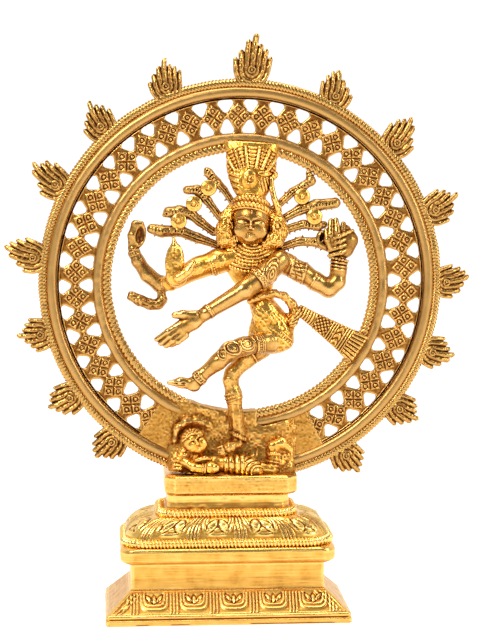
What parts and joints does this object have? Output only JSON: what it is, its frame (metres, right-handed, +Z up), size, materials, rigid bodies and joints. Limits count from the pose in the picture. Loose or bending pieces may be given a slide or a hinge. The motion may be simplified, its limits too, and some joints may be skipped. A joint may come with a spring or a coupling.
{
  "type": "nataraja statue",
  "caption": "Cast brass dancer inside a pierced ring of flames, standing on a dwarf, on a hollow stepped lotus pedestal.",
  "frame": {"origin": "on the resting plane, under the centre of the pedestal's foot", "axes": "+Z up, the statue faces -Y, +X to the right of someone looking at its front"},
  "size_m": [0.2184, 0.06, 0.2705],
  "materials": {
    "polished_brass": "hand-filed and buffed yellow brass with brown shade left in the low spots",
    "carved_brass": "bright chiselled and punched yellow brass, dark in the grooves",
    "flame_brass": "antique brown cast brass, ridges rubbed bright",
    "pedestal_brass": "brushed yellow brass with fine scratches along the tiers"
  },
  "bodies": {
    "root": {"crown": "carved_brass", "diadem": "carved_brass", "dwarf_arm": "polished_brass", "dwarf_head": "carved_brass", "dwarf_leg": "polished_brass", "dwarf_mound": "carved_brass", "dwarf_torso": "carved_brass", "ear_ornament_left": "carved_brass", "ear_ornament_right": "carved_brass", "fire_bowl": "polished_brass", "flame_01": "flame_brass", "flame_02": "flame_brass", "flame_03": "flame_brass", "flame_04": "flame_brass", "flame_05": "flame_brass", "flame_06": "flame_brass", "flame_07": "flame_brass", "flame_08": "flame_brass", "flame_09": "flame_brass", "flame_10": "flame_brass", "flame_11": "flame_brass", "flame_12": "flame_brass", "flame_13": "flame_brass", "flame_14": "flame_brass", "flame_15": "flame_brass", "foot_web": "carved_brass", "front_left_arm": "polished_brass", "front_right_arm": "polished_brass", "hair_discs_left": "carved_brass", "hair_discs_right": "carved_brass", "hair_locks_left": "polished_brass", "hair_locks_right": "polished_brass", "head": "polished_brass", "hips": "carved_brass", "inner_rim": "polished_brass", "inner_rope": "carved_brass", "lattice": "carved_brass", "lotus_dome": "carved_brass", "lotus_tray": "pedestal_brass", "necklace": "carved_brass", "outer_fringe": "carved_brass", "outer_rim": "polished_brass", "plinth_dado": "pedestal_brass", "plinth_foot": "pedestal_brass", "plinth_slope": "pedestal_brass", "raised_leg": "polished_brass", "rear_left_arm": "polished_brass", "rear_right_arm": "polished_brass", "sash": "carved_brass", "seat_neck": "pedestal_brass", "seat_rope": "carved_brass", "seat_slab": "pedestal_brass", "seat_tenons": "pedestal_brass", "serpent": "polished_brass", "standing_leg": "polished_brass", "torso": "polished_brass", "tray_rope": "carved_brass"}
  },
  "joints": []
}
